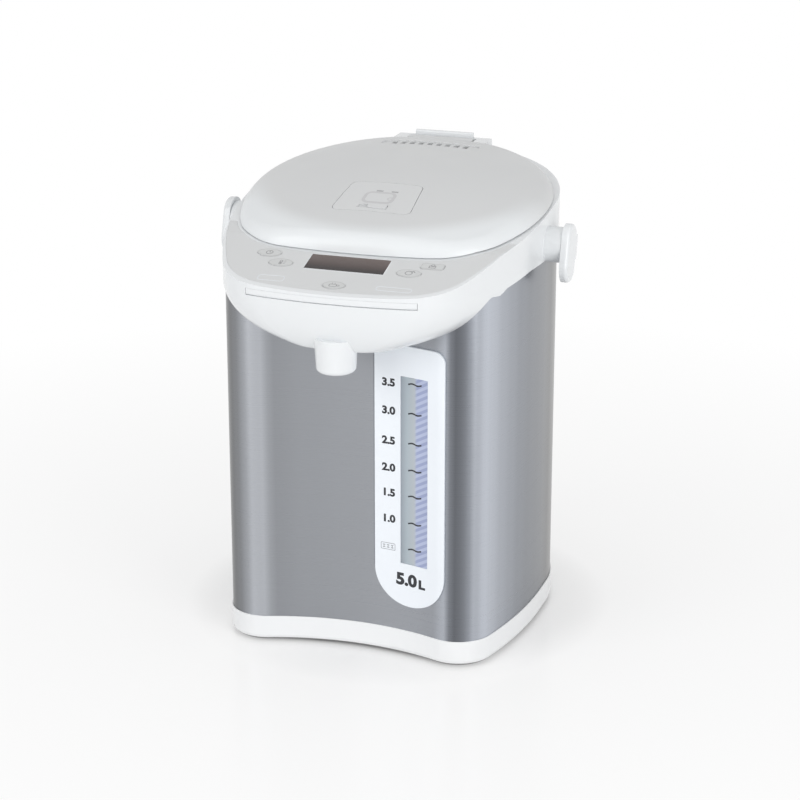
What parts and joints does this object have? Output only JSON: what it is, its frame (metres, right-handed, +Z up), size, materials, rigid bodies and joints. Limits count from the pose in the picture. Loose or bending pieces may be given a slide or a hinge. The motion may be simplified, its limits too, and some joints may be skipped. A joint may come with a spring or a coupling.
{
  "type": "electric thermo pot",
  "caption": "Electric thermo pot on a swivel base: steel case, level window, hinged lid with press pump, spout, sloping control panel and carry handle.",
  "frame": {"origin": "swivel axis at the surface the pot stands on", "axes": "+Z up, front with the nozzle towards -Y, level window on the +X half"},
  "size_m": [0.262, 0.298, 0.337],
  "materials": {
    "white_plastic": "glossy white moulded plastic",
    "steel_case": "brushed sheet, clear coated",
    "panel_film": "pale grey printed film",
    "display": "dark tinted window",
    "key_plastic": "satin",
    "gauge_plate": "glossy pale grey plate",
    "clear": "clear moulded plastic",
    "inner_steel": "drawn stainless sheet",
    "grey_plastic": "heat resistant moulding",
    "dark_plastic": "matte black",
    "silicone": "translucent silicone",
    "rubber_foot": "matte",
    "aluminium": "cast",
    "steel": "plated",
    "board": "green circuit board"
  },
  "bodies": {
    "pot": {"bottom_cover": "white_plastic", "pivot_washer": "steel", "base_screws": "steel", "base_skirt": "white_plastic", "outer_case": "steel_case", "gauge_frame": "gauge_plate", "gauge_window": "clear", "inner_container": "inner_steel", "strainer": "inner_steel", "heater_plate": "aluminium", "keep_warm_band": "aluminium", "thermostats": "dark_plastic", "temperature_sensor": "steel", "thermal_fuse": "dark_plastic", "rim_seal": "silicone", "tie_rods": "steel", "pump_motor": "steel", "pump_housing": "grey_plastic", "pump_cover": "grey_plastic", "inlet_hose": "silicone", "riser_elbow": "silicone", "level_tube": "clear", "tip_valve": "grey_plastic", "outlet_hose": "silicone", "upper_shell": "white_plastic", "control_film": "panel_film", "display_lens": "display", "control_board": "board", "board_screws": "steel", "front_trim": "white_plastic", "nozzle": "white_plastic", "handle_pivots": "steel", "hinge_pin": "steel", "power_inlet": "dark_plastic", "inlet_pins": "steel", "power_board": "board"},
    "turntable": {"swivel_plate": "white_plastic", "swivel_feet": "rubber_foot"},
    "handle": {"carry_handle": "white_plastic"},
    "lid": {"lid_shell": "white_plastic", "lid_tray": "white_plastic", "inner_plate": "inner_steel", "lid_gasket": "silicone", "steam_duct": "grey_plastic", "steam_grille": "white_plastic", "air_bellows": "silicone"},
    "press": {"press_plate": "white_plastic"},
    "lock": {"lock_slider": "white_plastic"},
    "lever": {"hinge_lever": "white_plastic"},
    "rotor": {"motor_rotor": "steel"},
    "impeller": {"pump_impeller": "grey_plastic"},
    "ball": {"tip_ball": "steel"},
    "timer_key": {"timer_key": "key_plastic"},
    "temperature_key": {"temperature_key": "key_plastic"},
    "reboil_key": {"reboil_key": "key_plastic"},
    "lock_key": {"lock_key": "key_plastic"},
    "dispense_key": {"dispense_key": "key_plastic"}
  },
  "joints": [
    {"name": "turntable_swivel", "type": "hinge", "parent": "turntable", "child": "pot", "pos_m": [0, 0, 0.004], "axis": [0, 0, 1], "continuous": true},
    {"name": "lid_hinge", "type": "hinge", "parent": "pot", "child": "lid", "pos_m": [0, 0.103, 0.329], "axis": [-1, 0, 0], "range_deg": [0, 80]},
    {"name": "handle_hinge", "type": "hinge", "parent": "pot", "child": "handle", "pos_m": [0, -0.0035, 0.287], "axis": [1, 0, 0], "range_deg": [0, 106]},
    {"name": "press_slide", "type": "slide", "parent": "lid", "child": "press", "axis": [0, 0, -1], "range_m": [0, 0.012], "stiffness_N_per_m": 300, "springref_m": -0.005, "deforming": ["air_bellows"]},
    {"name": "lock_slide", "type": "slide", "parent": "press", "child": "lock", "axis": [-1, 0, 0], "range_m": [0, 0.007]},
    {"name": "lever_slide", "type": "slide", "parent": "pot", "child": "lever", "axis": [0, 0, -1], "range_m": [0, 0.002], "stiffness_N_per_m": 400, "springref_m": -0.001},
    {"name": "rotor_spin", "type": "hinge", "parent": "pot", "child": "rotor", "pos_m": [0.041, -0.058, 0.03], "axis": [0, 0, 1], "continuous": true},
    {"name": "impeller_spin", "type": "hinge", "parent": "pot", "child": "impeller", "pos_m": [0.041, -0.058, 0.04], "axis": [0, 0, 1], "continuous": true},
    {"name": "ball_lift", "type": "slide", "parent": "pot", "child": "ball", "axis": [0, 0, 1], "range_m": [0, 0.0025]},
    {"name": "timer_press", "type": "slide", "parent": "pot", "child": "timer_key", "axis": [0, 0.2571, -0.9664], "range_m": [0, 0.0006], "stiffness_N_per_m": 400, "springref_m": -0.0005},
    {"name": "temperature_press", "type": "slide", "parent": "pot", "child": "temperature_key", "axis": [0, 0.2571, -0.9664], "range_m": [0, 0.0006], "stiffness_N_per_m": 400, "springref_m": -0.0005},
    {"name": "reboil_press", "type": "slide", "parent": "pot", "child": "reboil_key", "axis": [0, 0.2571, -0.9664], "range_m": [0, 0.0006], "stiffness_N_per_m": 400, "springref_m": -0.0005},
    {"name": "lock_press", "type": "slide", "parent": "pot", "child": "lock_key", "axis": [0, 0.2571, -0.9664], "range_m": [0, 0.0006], "stiffness_N_per_m": 400, "springref_m": -0.0005},
    {"name": "dispense_press", "type": "slide", "parent": "pot", "child": "dispense_key", "axis": [0, 0.2571, -0.9664], "range_m": [0, 0.0006], "stiffness_N_per_m": 400, "springref_m": -0.0005}
  ],
  "couplings": [
    {"joint": "impeller_spin", "follows": "rotor_spin", "ratio": 1}
  ]
}
